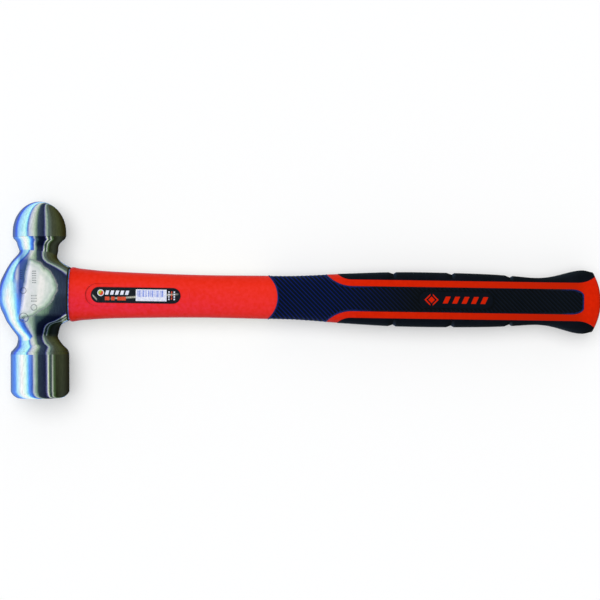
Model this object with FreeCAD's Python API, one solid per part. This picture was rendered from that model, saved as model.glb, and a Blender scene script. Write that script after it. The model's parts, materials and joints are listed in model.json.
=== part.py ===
import FreeCAD, Part
import math
import os

# A 32-ounce ball peen hammer with a fibreglass-cored, two-material moulded handle.
#
# The hammer is drawn about the point where the head's axis crosses the handle's axis:
# +X runs along the handle to the butt, +Y to the ball end, +Z up out of the cheek, and
# the hammer lies on its side.  The last step moves everything so that the origin is at
# the middle of the underside of the bounding box.  All sizes are in millimetres.

V = FreeCAD.Vector
X_AXIS, Y_AXIS, Z_AXIS = V(1, 0, 0), V(0, 1, 0), V(0, 0, 1)

# ---- Driving dimensions ----

# Head: how its axis sits on the handle
HEAD_LEAN_DEG = 1.1        # the ball end leans back towards the crown
HEAD_AXIS_X = 0.4          # head axis from the middle of the eye

# Head: ball end
BALL_RADIUS = 17.67
BALL_RISE = 20.5           # height of the half-ellipse that forms the ball
BALL_LAND = 3.0            # short cylinder under the ball
COLLAR_Y = 38.0            # underside of the land, where the neck begins

# Head: striking end
STRIKER_TOP_Y = -38.2
STRIKER_TOP_RADIUS = 18.95
STRIKER_RADIUS = 19.4
STRIKER_FULL_Y = -40.0     # where the cylinder reaches its full radius
STRIKER_BEVEL_Y = -64.9
FACE_Y = -69.2
FACE_RADIUS = 15.0

# Head: cheeks and necks, one row a section across the head's axis.
# (y, middle x, crown side x, handle side x, half thickness, crown power, handle power)
# The first and last rows end against the ball's land and the striking cylinder, which
# stand a little proud of them all round.
HEAD_SECTIONS = [
    (COLLAR_Y, 0.0, -17.4, 17.4, 17.4, 2.0, 2.0),
    (36.5, -0.1, -16.8, 16.7, 16.75, 2.0, 2.0),
    (34.0, -0.5, -15.0, 13.9, 14.4, 2.0, 2.0),
    (30.0, -0.7, -13.7, 12.35, 13.0, 2.0, 2.0),
    (26.0, -0.9, -14.5, 11.7, 13.2, 2.4, 2.0),
    (22.2, -1.6, -17.7, 13.1, 14.7, 3.0, 2.2),
    (19.5, -2.1, -19.5, 17.0, 15.8, 3.3, 2.4),
    (17.0, -2.6, -21.1, 21.6, 16.5, 3.2, 2.7),
    (13.0, -3.3, -23.4, 28.0, 17.1, 2.85, 3.0),
    (7.0, -3.8, -26.5, 33.0, 17.4, 2.35, 3.1),
    (0.0, -4.0, -27.8, 35.0, 17.5, 2.15, 3.1),
    (-7.0, -3.8, -27.0, 33.0, 17.4, 2.2, 3.1),
    (-13.0, -3.3, -24.1, 28.0, 17.1, 2.5, 3.0),
    (-17.2, -2.7, -22.2, 20.8, 16.5, 2.75, 2.7),
    (-19.5, -2.2, -20.8, 15.7, 15.9, 2.8, 2.4),
    (-22.2, -1.7, -19.0, 13.3, 14.9, 2.75, 2.2),
    (-27.0, -1.1, -15.5, 12.1, 13.6, 2.3, 2.0),
    (-31.0, -0.9, -14.6, 13.0, 13.8, 2.0, 2.0),
    (-34.4, -0.4, -15.5, 15.6, 15.5, 2.0, 2.0),
    (-36.8, -0.1, -17.5, 18.1, 17.9, 2.0, 2.0),
    (STRIKER_TOP_Y, 0.0, -18.7, 18.7, 18.7, 2.0, 2.0),
]
SECTION_POINTS = 36

# Eye: an hourglass through the head; half height along Y, half thickness along Z
BOSS_X = 20.0              # flat end of the eye boss, facing the handle
EYE_SECTIONS = [(-32.0, 13.4, 8.2), (-4.0, 12.2, 7.4), (24.0, 13.8, 8.8)]
EYE_POWER = 2.2
RESIN_START_X = -23.2      # resin stops a little inside the crown opening
BEAD_HALF_HEIGHT, BEAD_HALF_THICKNESS = 16.8, 11.4

# Marks struck in the upper cheek
STAMP_DEPTH = 0.35
STAMP_BARS = (                         # (x, y, length along X, width along Y)
    [(-1.4, y, 3.6, 0.8) for y in (-1.2, -3.0, -4.8)]
    + [(-1.2, y, 2.6, 0.6) for y in (14.9, 13.4, 11.9, 10.4, 8.9, 7.4)]
    + [(-9.8, y, 1.8, 0.5) for y in (15.6, 14.2, 12.8, 11.4, 10.0)]
)
STAMP_RINGS = [                        # (x, y, outer radius, inner radius)
    (-1.4, -8.9, 2.2, 1.5),
    (-8.4, 2.2, 2.2, 1.7),
    (-8.3, -15.6, 3.3, 2.75),
    (-8.3, -15.6, 0.8, 0.0),
]

# Fibreglass core
CORE_START_X, CORE_END_X = -24.6, 350.0
CORE_HALF_HEIGHT, CORE_HALF_THICKNESS, CORE_POWER = 10.4, 5.9, 2.6

# Handle outside, one row a section: (x, half height, half thickness, power)
SLEEVE_X = 21.0            # end of the moulded handle, next to the head
HANDLE_SECTIONS = [
    (SLEEVE_X, 17.6, 12.0, 2.3),
    (22.2, 18.15, 12.3, 2.3),
    (24.6, 17.8, 12.1, 2.35),
    (30.0, 17.05, 11.6, 2.5),
    (38.0, 16.3, 11.1, 2.6),
    (55.0, 15.4, 10.5, 2.6),
    (80.0, 14.7, 10.15, 2.6),
    (110.0, 14.2, 10.05, 2.5),
    (150.0, 14.4, 10.3, 2.4),
    (172.0, 14.7, 10.8, 2.4),
    (190.0, 15.75, 11.8, 2.4),
    (211.0, 16.85, 13.0, 2.5),
    (232.0, 17.8, 13.8, 2.5),
    (256.0, 18.1, 14.0, 2.5),
    (285.0, 17.8, 13.85, 2.5),
    (307.0, 17.1, 13.2, 2.5),
    (320.0, 16.2, 12.6, 2.5),
    (330.0, 15.5, 12.3, 2.5),
    (339.0, 16.1, 12.8, 2.5),
    (347.0, 17.9, 13.9, 2.5),
    (355.0, 20.1, 15.1, 2.5),
    (361.0, 21.0, 15.8, 2.5),
    (366.0, 20.4, 15.8, 2.5),
    (369.5, 18.6, 15.0, 2.5),
    (372.0, 16.4, 13.6, 2.5),
    (375.5, 12.6, 11.0, 2.5),
]
BUTT_RADIUS = 38.0         # the butt is rounded by a sphere
BUTT_CENTRE_X = 335.9

# Soft rubber-like parts lie in recesses of this depth
RUBBER_DEPTH = 2.0
OUTSIDE_Y = 24.0           # any distance clear of the handle's edge

# Collar and long front and back panels, seen from above
COLLAR_ARC_RADIUS = 19.2
COLLAR_MIDDLE_X = 159.0
PANEL_HALF_WIDTH = 8.36
PANEL_ARC_RADIUS, PANEL_STRAIGHT_X = 23.2, 208.5
PANEL_CORNER_X, PANEL_END_X, PANEL_END_HALF_WIDTH = 353.0, 360.9, 4.0
RIM_WIDTH, RIM_HEIGHT = 1.2, 0.35

# Pads along the two edges of the grip, seen from above
PAD_INNER_Y = 12.65
PAD_ARC_RADIUS, PAD_STRAIGHT_X = 12.6, 207.5
PAD_END_ARC_RADIUS, PAD_END_STRAIGHT_X = 18.0, 357.0
NOTCHES_X = (235.8, 274.6, 313.3)
NOTCH_BEFORE, NOTCH_AFTER, NOTCH_DEPTH = 3.2, 1.9, 1.15

# Emblem: islands of the hard plastic that show through the front panel
EMBLEM_X = 260.6
EMBLEM_DIAMONDS = (4.7, 3.5, 2.2)      # half diagonals: outside, hole, middle
EMBLEM_GAP = 1.6                       # parts the outer diamond into two chevrons
EMBLEM_BARS = 5
EMBLEM_BAR_X, EMBLEM_BAR_PITCH = 269.0, 6.2
EMBLEM_BAR_WIDTH, EMBLEM_BAR_HALF_HEIGHT, EMBLEM_BAR_SLANT = 3.2, 2.3, 2.0

# Label and the flat-floored pocket it lies in
POCKET_START_X, POCKET_END_X, POCKET_HALF_HEIGHT = 31.9, 101.0, 7.5
POCKET_FLOOR_Z = 9.85
LABEL_START_X, LABEL_END_X, LABEL_HALF_HEIGHT = 35.6, 94.9, 5.2
LABEL_THICKNESS = 0.3


# ---- Shared geometry ----

def superellipse_point(angle, half_u, half_v, power):
    """A point at this angle on |u/half_u|^power + |v/half_v|^power = 1."""
    u, v = math.cos(angle), math.sin(angle)
    reach = (abs(u / half_u) ** power + abs(v / half_v) ** power) ** (-1.0 / power)
    return u * reach, v * reach


def closed_curve(points):
    """A smooth closed wire through the points, with evenly spaced knots.

    Every section then has the same knots, which keeps the lofts through them light.
    """
    knots = [i / len(points) for i in range(len(points) + 1)]
    curve = Part.BSplineCurve()
    curve.interpolate(Points=points, PeriodicFlag=True, Parameters=knots)
    return Part.Wire([curve.toShape()])


def oval(x, half_y, half_z, power):
    """A superellipse across the handle at x."""
    points = []
    for i in range(SECTION_POINTS):
        y, z = superellipse_point(2 * math.pi * i / SECTION_POINTS, half_y, half_z, power)
        points.append(V(x, y, z))
    return closed_curve(points)


def loft(wires, ruled=False):
    return Part.makeLoft(wires, True, ruled)


def prism(edges, z_low, z_high):
    """A closed outline in the XY plane, raised from z_low to z_high."""
    face = Part.Face(Part.Wire(edges))
    face.translate(V(0, 0, z_low))
    return face.extrude(V(0, 0, z_high - z_low))


def line(start, end):
    return Part.makeLine(V(start[0], start[1], 0), V(end[0], end[1], 0))


def polygon(points):
    return [line(a, b) for a, b in zip(points, points[1:] + points[:1])]


def arc(centre, radius, start_deg, end_deg):
    """An arc in the XY plane, anticlockwise from start_deg to end_deg."""
    return Part.makeCircle(radius, V(centre[0], centre[1], 0), Z_AXIS, start_deg, end_deg)


def mirrored(edges):
    """The same outline on the other side of the handle's axis."""
    return [edge.mirror(V(0, 0, 0), Y_AXIS) for edge in edges]


def stadium(x_start, x_end, half_height):
    """A bar with round ends."""
    left, right = (x_start + half_height, 0), (x_end - half_height, 0)
    return [
        line((left[0], -half_height), (right[0], -half_height)),
        arc(right, half_height, -90, 90),
        line((right[0], half_height), (left[0], half_height)),
        arc(left, half_height, 90, 270),
    ]


def only_solid(shape):
    """The single solid that a boolean leaves."""
    assert len(shape.Solids) == 1, "expected one solid, found %d" % len(shape.Solids)
    return shape.Solids[0]


# ---- Head ----

def head_section(y, middle, crown, handle_side, half_z, crown_power, handle_power):
    """A section across the head's axis: two half superellipses that meet at middle."""
    points = []
    for i in range(SECTION_POINTS):
        angle = 2 * math.pi * i / SECTION_POINTS
        on_handle_side = math.cos(angle) > 0
        half_x = handle_side - middle if on_handle_side else middle - crown
        power = handle_power if on_handle_side else crown_power
        x, z = superellipse_point(angle, half_x, half_z, power)
        points.append(V(middle + x, y, z))
    return closed_curve(points)


def turned(edges):
    """Revolve an outline, drawn in x and y, about the head's axis."""
    face = Part.Face(Part.Wire(edges))
    return face.revolve(V(0, 0, 0), Y_AXIS, 360)


def ball_end():
    """The ball, a half-ellipse, on its short land."""
    base_y = COLLAR_Y + BALL_LAND
    ellipse = Part.Ellipse(V(0, base_y + BALL_RISE, 0), V(BALL_RADIUS, base_y, 0), V(0, base_y, 0))
    quarter = Part.ArcOfEllipse(ellipse, 0, math.pi / 2).toShape()
    ends = sorted((v.Point for v in quarter.Vertexes), key=lambda p: p.y)
    outline = [
        Part.makeLine(V(0, COLLAR_Y, 0), V(BALL_RADIUS, COLLAR_Y, 0)),
        Part.makeLine(V(BALL_RADIUS, COLLAR_Y, 0), ends[0]),
        quarter,
        Part.makeLine(ends[1], V(0, COLLAR_Y, 0)),
    ]
    return turned(outline)


def striking_end():
    """The cylinder, its slightly rounded bevel and the flat face."""
    bevel_start = V(STRIKER_RADIUS, STRIKER_BEVEL_Y, 0)
    bevel_end = V(FACE_RADIUS, FACE_Y, 0)
    bulge = 0.45
    middle = (bevel_start + bevel_end) * 0.5 + V(bulge, -bulge, 0)
    outline = [
        line((0, STRIKER_TOP_Y), (STRIKER_TOP_RADIUS, STRIKER_TOP_Y)),
        line((STRIKER_TOP_RADIUS, STRIKER_TOP_Y), (STRIKER_RADIUS, STRIKER_FULL_Y)),
        line((STRIKER_RADIUS, STRIKER_FULL_Y), (STRIKER_RADIUS, STRIKER_BEVEL_Y)),
        Part.Arc(bevel_start, middle, bevel_end).toShape(),
        line((FACE_RADIUS, FACE_Y), (0, FACE_Y)),
        line((0, FACE_Y), (0, STRIKER_TOP_Y)),
    ]
    return turned(outline)


def eye(x_start, x_end):
    """The hourglass hole, between two stations along the handle's axis."""
    hole = loft([oval(x, hy, hz, EYE_POWER) for x, hy, hz in EYE_SECTIONS])
    slab = Part.makeBox(x_end - x_start, 60, 60, V(x_start, -30, -30))
    return hole.common(slab)


def between_rows(rows, position):
    """The other values of a table at this position, straight between its nearest rows."""
    for near, far in zip(rows, rows[1:]):
        if min(near[0], far[0]) <= position <= max(near[0], far[0]):
            t = (position - near[0]) / (far[0] - near[0])
            return [a + t * (b - a) for a, b in zip(near[1:], far[1:])]


def cheek_height(x, y):
    """Height of the upper cheek on the crown's side of its middle line."""
    middle, crown, _, half_z, power, _ = between_rows(HEAD_SECTIONS, y)
    run = max(middle - x, 0) / (middle - crown)
    return half_z * (1 - run ** power) ** (1 / power)


def struck(tool, x, y):
    """A tool drawn about the origin, set square to the cheek at x, y and sunk into it."""
    step = 1.0
    rise_x = (cheek_height(x + step, y) - cheek_height(x - step, y)) / (2 * step)
    rise_y = (cheek_height(x, y + step) - cheek_height(x, y - step)) / (2 * step)
    tool.translate(V(0, 0, -STAMP_DEPTH))
    turn = FreeCAD.Rotation(Z_AXIS, V(-rise_x, -rise_y, 1))
    tool.Placement = FreeCAD.Placement(V(x, y, cheek_height(x, y)), turn) * tool.Placement
    return tool


def stamps():
    """Shallow bars, rings and a dot struck into the upper cheek."""
    tools = []
    for x, y, length, width in STAMP_BARS:
        bar = Part.makeBox(length, width, 2.0, V(-length / 2, -width / 2, 0))
        tools.append(struck(bar, x, y))
    for x, y, outer, inner in STAMP_RINGS:
        ring = Part.makeCylinder(outer, 2.0)
        if inner:
            ring = ring.cut(Part.makeCylinder(inner, 2.0))
        tools.append(struck(ring, x, y))
    return tools


def head():
    body = loft([head_section(*row) for row in HEAD_SECTIONS])
    body = body.fuse([ball_end(), striking_end()])
    body = body.cut(stamps())
    body.rotate(V(0, 0, 0), Z_AXIS, HEAD_LEAN_DEG)
    body.translate(V(HEAD_AXIS_X, 0, 0))
    beyond_boss = Part.makeBox(40, 80, 80, V(BOSS_X, -40, -40))
    first_x, last_x = EYE_SECTIONS[0][0], EYE_SECTIONS[-1][0]
    return only_solid(body.cut([beyond_boss, eye(first_x, last_x)]))


# ---- Handle ----

def handle_envelope(offset=0.0, x_from=SLEEVE_X, x_to=BUTT_CENTRE_X + BUTT_RADIUS):
    """The handle's outside, moved out by offset, over a length of the handle."""
    rows = [row for row in HANDLE_SECTIONS if x_from - 30 <= row[0] <= x_to + 30]
    shape = loft([oval(x, hy + offset, hz + offset, n) for x, hy, hz, n in rows])
    ball = Part.makeSphere(BUTT_RADIUS + offset, V(BUTT_CENTRE_X, 0, 0))
    length = max(BUTT_CENTRE_X - x_from, 1.0)
    run = Part.makeCylinder(BUTT_RADIUS + offset, length, V(x_from, 0, 0), X_AXIS)
    return shape.common(run.fuse(ball))


def core():
    ends = [oval(x, CORE_HALF_HEIGHT, CORE_HALF_THICKNESS, CORE_POWER)
            for x in (CORE_START_X, CORE_END_X)]
    return loft(ends, ruled=True)


def resin(core_solid):
    """The resin that fills the eye around the core, and its bead at the joint."""
    fill = eye(RESIN_START_X, BOSS_X)
    bead_ends = [oval(x, BEAD_HALF_HEIGHT, BEAD_HALF_THICKNESS, EYE_POWER)
                 for x in (BOSS_X, SLEEVE_X)]
    return only_solid(fill.fuse(loft(bead_ends, ruled=True)).cut(core_solid))


def circle_x(centre, radius, y, side):
    """Where a circle crosses the height y, on its left (-1) or right (+1) side."""
    return centre[0] + side * math.sqrt(radius ** 2 - (y - centre[1]) ** 2)


def angle_at(centre, point):
    return math.degrees(math.atan2(point[1] - centre[1], point[0] - centre[0]))


def collar_arc(shift=0.0):
    """The collar's edge, which bows towards the butt, and the height it ends at."""
    centre = (COLLAR_MIDDLE_X - COLLAR_ARC_RADIUS + shift, 0)
    reach_y = 0.9 * COLLAR_ARC_RADIUS
    end = (circle_x(centre, COLLAR_ARC_RADIUS, reach_y, 1), reach_y)
    half_angle = angle_at(centre, end)
    return arc(centre, COLLAR_ARC_RADIUS, -half_angle, half_angle), end


def sleeve_outline():
    """Collar and panel seen from above; drawn on one side and mirrored."""
    edge, collar_end = collar_arc()
    flare_centre = (PANEL_STRAIGHT_X, PANEL_HALF_WIDTH + PANEL_ARC_RADIUS)
    flare_top = (circle_x(flare_centre, PANEL_ARC_RADIUS, OUTSIDE_Y, -1), OUTSIDE_Y)
    corner = Part.Ellipse(
        V(PANEL_END_X, PANEL_END_HALF_WIDTH, 0),
        V(PANEL_CORNER_X, PANEL_HALF_WIDTH, 0),
        V(PANEL_CORNER_X, PANEL_END_HALF_WIDTH, 0),
    )
    side = [
        line(collar_end, (collar_end[0], OUTSIDE_Y)),
        line((collar_end[0], OUTSIDE_Y), flare_top),
        arc(flare_centre, PANEL_ARC_RADIUS, angle_at(flare_centre, flare_top) % 360, 270),
        line((PANEL_STRAIGHT_X, PANEL_HALF_WIDTH), (PANEL_CORNER_X, PANEL_HALF_WIDTH)),
        Part.ArcOfEllipse(corner, 0, math.pi / 2).toShape(),
    ]
    end = line((PANEL_END_X, PANEL_END_HALF_WIDTH), (PANEL_END_X, -PANEL_END_HALF_WIDTH))
    return Part.__sortEdges__([edge] + side + [end] + mirrored(side))


def rim_outline():
    """The narrow band along the collar's edge."""
    near, near_end = collar_arc()
    far, far_end = collar_arc(RIM_WIDTH)
    joins = [line(near_end, far_end)]
    return Part.__sortEdges__([near, far] + joins + mirrored(joins))


def pad_outline():
    """An edge pad seen from above, on the ball side."""
    start_centre = (PAD_STRAIGHT_X, PAD_INNER_Y + PAD_ARC_RADIUS)
    end_centre = (PAD_END_STRAIGHT_X, PAD_INNER_Y + PAD_END_ARC_RADIUS)
    start = (circle_x(start_centre, PAD_ARC_RADIUS, OUTSIDE_Y, -1), OUTSIDE_Y)
    end = (circle_x(end_centre, PAD_END_ARC_RADIUS, OUTSIDE_Y, 1), OUTSIDE_Y)
    return Part.__sortEdges__([
        arc(start_centre, PAD_ARC_RADIUS, angle_at(start_centre, start) % 360, 270),
        line((PAD_STRAIGHT_X, PAD_INNER_Y), (PAD_END_STRAIGHT_X, PAD_INNER_Y)),
        arc(end_centre, PAD_END_ARC_RADIUS, -90, angle_at(end_centre, end)),
        line(end, start),
    ])


def emblem():
    """A diamond between two chevrons, and a row of slanted bars."""
    def diamond(half):
        corners = [(EMBLEM_X + half, 0), (EMBLEM_X, half), (EMBLEM_X - half, 0), (EMBLEM_X, -half)]
        return prism(polygon(corners), 0, 20)

    outside, hole, middle = [diamond(half) for half in EMBLEM_DIAMONDS]
    gap = Part.makeBox(EMBLEM_GAP, 20, 20, V(EMBLEM_X - EMBLEM_GAP / 2, -10, 0))
    pieces = [outside.cut([hole, gap]), middle]
    h, slant = EMBLEM_BAR_HALF_HEIGHT, EMBLEM_BAR_SLANT / 2
    for i in range(EMBLEM_BARS):
        x = EMBLEM_BAR_X + i * EMBLEM_BAR_PITCH
        far = x + EMBLEM_BAR_WIDTH
        corners = [(x - slant, -h), (far - slant, -h), (far + slant, h), (x + slant, h)]
        pieces.append(prism(polygon(corners), 0, 20))
    return pieces


def notch(x):
    """A V-shaped groove around the handle, to cut from the edge pads."""
    before, after = x - NOTCH_BEFORE, x + NOTCH_AFTER
    rows = []
    for station, depth in ((before, 0), (x, NOTCH_DEPTH), (after, 0)):
        half_y, half_z, power = between_rows(HANDLE_SECTIONS, station)
        clear = 0.0 if depth else 0.15
        rows.append(oval(station, half_y - depth + clear, half_z - depth + clear, power))
    block = Part.makeBox(after - before, 60, 60, V(before, -30, -30))
    return block.cut(loft(rows, ruled=True))


def pocket(side):
    """The label's recess on the upper (+1) or lower (-1) face."""
    outline = stadium(POCKET_START_X, POCKET_END_X, POCKET_HALF_HEIGHT)
    low, high = sorted((side * POCKET_FLOOR_Z, side * 20.0))
    return prism(outline, low, high)


def label():
    outline = stadium(LABEL_START_X, LABEL_END_X, LABEL_HALF_HEIGHT)
    return prism(outline, POCKET_FLOOR_Z, POCKET_FLOOR_Z + LABEL_THICKNESS)


def handle():
    """The hard jacket and the soft pieces moulded into its recesses."""
    outside = handle_envelope()
    inside = handle_envelope(-RUBBER_DEPTH)
    sleeve_recess = prism(sleeve_outline(), -30, 30).cut([inside] + emblem())
    pad_recess = prism(pad_outline(), -30, 30).cut(inside)
    other_recess = pad_recess.mirror(V(0, 0, 0), Y_AXIS)

    rim_shell = handle_envelope(RIM_HEIGHT, COLLAR_MIDDLE_X - 20, COLLAR_MIDDLE_X + 20)
    rim = rim_shell.common(prism(rim_outline(), -30, 30)).cut(inside)
    sleeve = only_solid(outside.common(sleeve_recess).fuse(rim))
    pad = only_solid(outside.common(pad_recess).cut([notch(x) for x in NOTCHES_X]))
    other_pad = pad.mirror(V(0, 0, 0), Y_AXIS)

    jacket = outside.cut([sleeve_recess, pad_recess, other_recess])
    jacket = only_solid(jacket.cut([core(), pocket(1), pocket(-1)]))
    return jacket, sleeve, pad, other_pad


# ---- The whole hammer ----

def main():
    jacket, sleeve, peen_pad, face_pad = handle()
    core_solid = core()
    nodes = {
        "head": head(),
        "eye_epoxy": resin(core_solid),
        "fibreglass_core": core_solid,
        "handle_jacket": jacket,
        "grip_sleeve": sleeve,
        "grip_pad_peen_side": peen_pad,
        "grip_pad_face_side": face_pad,
        "label": label(),
    }
    box = Part.makeCompound(list(nodes.values())).optimalBoundingBox(False, False)
    shift = V(-(box.XMin + box.XMax) / 2, -(box.YMin + box.YMax) / 2, -box.ZMin)
    print("hammer axis crossing is at %.3f %.3f %.3f" % (shift.x, shift.y, shift.z))
    print("box %.2f x %.2f x %.2f" % (box.XLength, box.YLength, box.ZLength))
    os.makedirs("parts", exist_ok=True)
    for name, shape in nodes.items():
        shape.translate(shift)
        print("%-20s %9.1f mm3 valid %s" % (name, shape.Volume, shape.isValid()))
        shape.exportStep("parts/%s.step" % name)


main()
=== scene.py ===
import bisect
import json
import math

import bpy
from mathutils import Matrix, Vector
from mathutils.bvhtree import BVHTree
from mathutils.kdtree import KDTree

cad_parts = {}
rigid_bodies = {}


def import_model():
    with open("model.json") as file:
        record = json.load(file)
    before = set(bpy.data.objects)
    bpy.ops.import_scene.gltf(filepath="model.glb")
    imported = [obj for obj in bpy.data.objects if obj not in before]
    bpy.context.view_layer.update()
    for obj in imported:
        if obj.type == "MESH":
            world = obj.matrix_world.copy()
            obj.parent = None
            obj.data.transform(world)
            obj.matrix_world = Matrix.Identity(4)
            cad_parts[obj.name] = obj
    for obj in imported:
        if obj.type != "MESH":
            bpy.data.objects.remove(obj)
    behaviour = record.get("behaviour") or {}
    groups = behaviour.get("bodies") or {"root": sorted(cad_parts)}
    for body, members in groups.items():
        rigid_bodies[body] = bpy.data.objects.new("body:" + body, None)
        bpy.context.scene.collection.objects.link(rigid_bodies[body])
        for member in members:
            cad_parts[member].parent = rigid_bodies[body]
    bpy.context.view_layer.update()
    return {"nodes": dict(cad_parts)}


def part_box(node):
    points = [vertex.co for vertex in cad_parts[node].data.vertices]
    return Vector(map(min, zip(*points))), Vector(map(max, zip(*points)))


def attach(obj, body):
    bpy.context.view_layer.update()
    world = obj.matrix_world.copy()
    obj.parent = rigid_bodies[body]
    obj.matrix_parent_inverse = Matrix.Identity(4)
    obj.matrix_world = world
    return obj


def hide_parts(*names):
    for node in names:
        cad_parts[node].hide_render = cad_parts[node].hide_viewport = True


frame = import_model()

# A ball peen hammer lying on its side.  Lengths below are in millimetres, measured from
# the point where the head's axis crosses the handle's axis: x along the handle to the
# butt, y to the ball end, z up.  The frame's jacket says where that point is.

MM = 0.001
JACKET_START = 21.0
jacket_low, jacket_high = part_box("handle_jacket")
ORIGIN = Vector((
    jacket_low.x - JACKET_START * MM,
    (jacket_low.y + jacket_high.y) / 2,
    (jacket_low.z + jacket_high.z) / 2,
))
BUTT_X = (jacket_high.x - ORIGIN.x) / MM


def place(x, y, z):
    """A point in metres, in the frame."""
    return ORIGIN + Vector((x, y, z)) * MM


# ---- Shape of the grip, as in the solid model ----

COLLAR_MIDDLE_X, COLLAR_ARC_RADIUS = 159.0, 19.2
PANEL_HALF_WIDTH, PANEL_ARC_RADIUS, PANEL_STRAIGHT_X = 8.36, 23.2, 208.5
PANEL_CORNER_X, PANEL_END_X, PANEL_END_HALF_WIDTH = 353.0, 360.9, 4.0
PAD_INNER_Y, PAD_ARC_RADIUS, PAD_STRAIGHT_X = 12.65, 12.6, 207.5
PAD_END_ARC_RADIUS, PAD_END_STRAIGHT_X = 18.0, 357.0
NOTCHES_X, NOTCH_BEFORE, NOTCH_AFTER, NOTCH_DEPTH = (235.8, 274.6, 313.3), 3.2, 1.9, 1.15
BUTT_RADIUS = 38.0
BUTT_MIDDLE_X = BUTT_X - BUTT_RADIUS
SECTION_POWER = 2.45

# Ribs run at 45 degrees across the handle, seen from above
RIB_STEP_X = 2.97          # pitch along the handle
RIB_SAMPLES = 8            # rows of mesh points for each rib
RIB_DEPTH = 0.36
EDGE_FADE = 0.5            # share of the depth that is lost at the handle's edges
AROUND = 80                # mesh points around the handle

# Stations along the handle where the grip's outside is measured on the solids
FIRST_STATION_X, STATION_STEP_X = 143, 4
COLLAR_LIP_X = (151, 161)  # no stations here, where the collar's lip stands out
RAY_START = 60.0           # distance from the handle's axis, well outside the grip


def measure_outside():
    """Half height and half thickness of the grip along the handle, by rays onto the solids."""
    trees = []
    for name in ("handle_jacket", "grip_sleeve", "grip_pad_peen_side"):
        mesh = frame["nodes"][name].data
        corners = [v.co for v in mesh.vertices]
        trees.append(BVHTree.FromPolygons(corners, [p.vertices for p in mesh.polygons]))

    def reach(x, direction):
        start = place(x, 0, 0) + direction * RAY_START * MM
        hits = [tree.ray_cast(start, -direction)[0] for tree in trees]
        return max((hit - place(x, 0, 0)).dot(direction) / MM for hit in hits if hit)

    def undisturbed(x):
        in_notch = any(n - NOTCH_BEFORE - 1 < x < n + NOTCH_AFTER + 1 for n in NOTCHES_X)
        return not in_notch and not COLLAR_LIP_X[0] < x < COLLAR_LIP_X[1]

    everywhere = range(FIRST_STATION_X, int(BUTT_X) - 2, STATION_STEP_X)
    stations = [x for x in everywhere if undisturbed(x)]
    half_heights = [reach(x, Vector((0, 1, 0))) for x in stations]
    half_thicknesses = [reach(x, Vector((0, 0, -1))) for x in stations]
    return stations, half_heights, half_thicknesses


STATIONS, HALF_HEIGHTS, HALF_THICKNESSES = measure_outside()


def smooth_between(values, x):
    """Catmull-Rom interpolation of values given at the stations."""
    i = min(max(bisect.bisect_right(STATIONS, x) - 1, 0), len(STATIONS) - 2)
    x0, x1 = STATIONS[i], STATIONS[i + 1]
    before, after = max(i - 1, 0), min(i + 2, len(STATIONS) - 1)
    slope0 = (values[i + 1] - values[before]) / (x1 - STATIONS[before])
    slope1 = (values[after] - values[i]) / (STATIONS[after] - x0)
    t, span = (x - x0) / (x1 - x0), x1 - x0
    return (
        (2 * t ** 3 - 3 * t ** 2 + 1) * values[i] + (t ** 3 - 2 * t ** 2 + t) * span * slope0
        + (3 * t ** 2 - 2 * t ** 3) * values[i + 1] + (t ** 3 - t ** 2) * span * slope1
    )


def half_sizes(x):
    """Half height and half thickness of the grip at this place along it."""
    return smooth_between(HALF_HEIGHTS, x), smooth_between(HALF_THICKNESSES, x)


def across(x, angle, sunk=0.0):
    """(y, z) on the handle's outside at this angle about its axis, sunk by some depth."""
    half_y, half_z = half_sizes(x)
    u, v = math.cos(angle), math.sin(angle)
    n = SECTION_POWER
    reach = (abs(u / half_y) ** n + abs(v / half_z) ** n) ** (-1 / n)
    if x > BUTT_MIDDLE_X:
        reach = min(reach, math.sqrt(max(BUTT_RADIUS ** 2 - (x - BUTT_MIDDLE_X) ** 2, 0.01)))
    reach -= sunk
    return u * reach, v * reach


def height_at(x, y):
    """Height of the handle's outside above its axis, over a point seen from above."""
    half_y, half_z = half_sizes(x)
    n = SECTION_POWER
    z = half_z * max(1 - min(abs(y) / half_y, 1) ** n, 0) ** (1 / n)
    if x > BUTT_MIDDLE_X:
        z = min(z, math.sqrt(max(BUTT_RADIUS ** 2 - (x - BUTT_MIDDLE_X) ** 2 - y ** 2, 0)))
    return z


# ---- Outlines of the soft pieces, seen from above ----

BEAD_STEP = 0.6            # spacing of mesh points along an outline
OUTLINE_STEPS = 600        # steps along one side of an outline, before it is divided evenly
COLLAR_STEPS = 240
HALVINGS = 40              # enough to find a crossing to the last digit


def collar_x(y):
    """The collar's edge, an arc that bows towards the butt."""
    middle = COLLAR_MIDDLE_X - COLLAR_ARC_RADIUS
    return middle + math.sqrt(max(COLLAR_ARC_RADIUS ** 2 - y ** 2, 0))


def flare(x, straight_x, straight_y, radius):
    """An arc that leaves the straight line at straight_x and turns outwards, away from it."""
    run = abs(x - straight_x)
    return straight_y + radius - math.sqrt(radius ** 2 - run ** 2) if run < radius else math.inf


def panel_limit(x):
    """Half width of the collar and panel; infinite where the collar goes all round."""
    if x < PANEL_STRAIGHT_X:
        return flare(x, PANEL_STRAIGHT_X, PANEL_HALF_WIDTH, PANEL_ARC_RADIUS)
    if x < PANEL_CORNER_X:
        return PANEL_HALF_WIDTH
    if x > PANEL_END_X:
        return -1.0
    run = (x - PANEL_CORNER_X) / (PANEL_END_X - PANEL_CORNER_X)
    corner = PANEL_HALF_WIDTH - PANEL_END_HALF_WIDTH
    return PANEL_END_HALF_WIDTH + corner * math.sqrt(1 - run ** 2)


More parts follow.
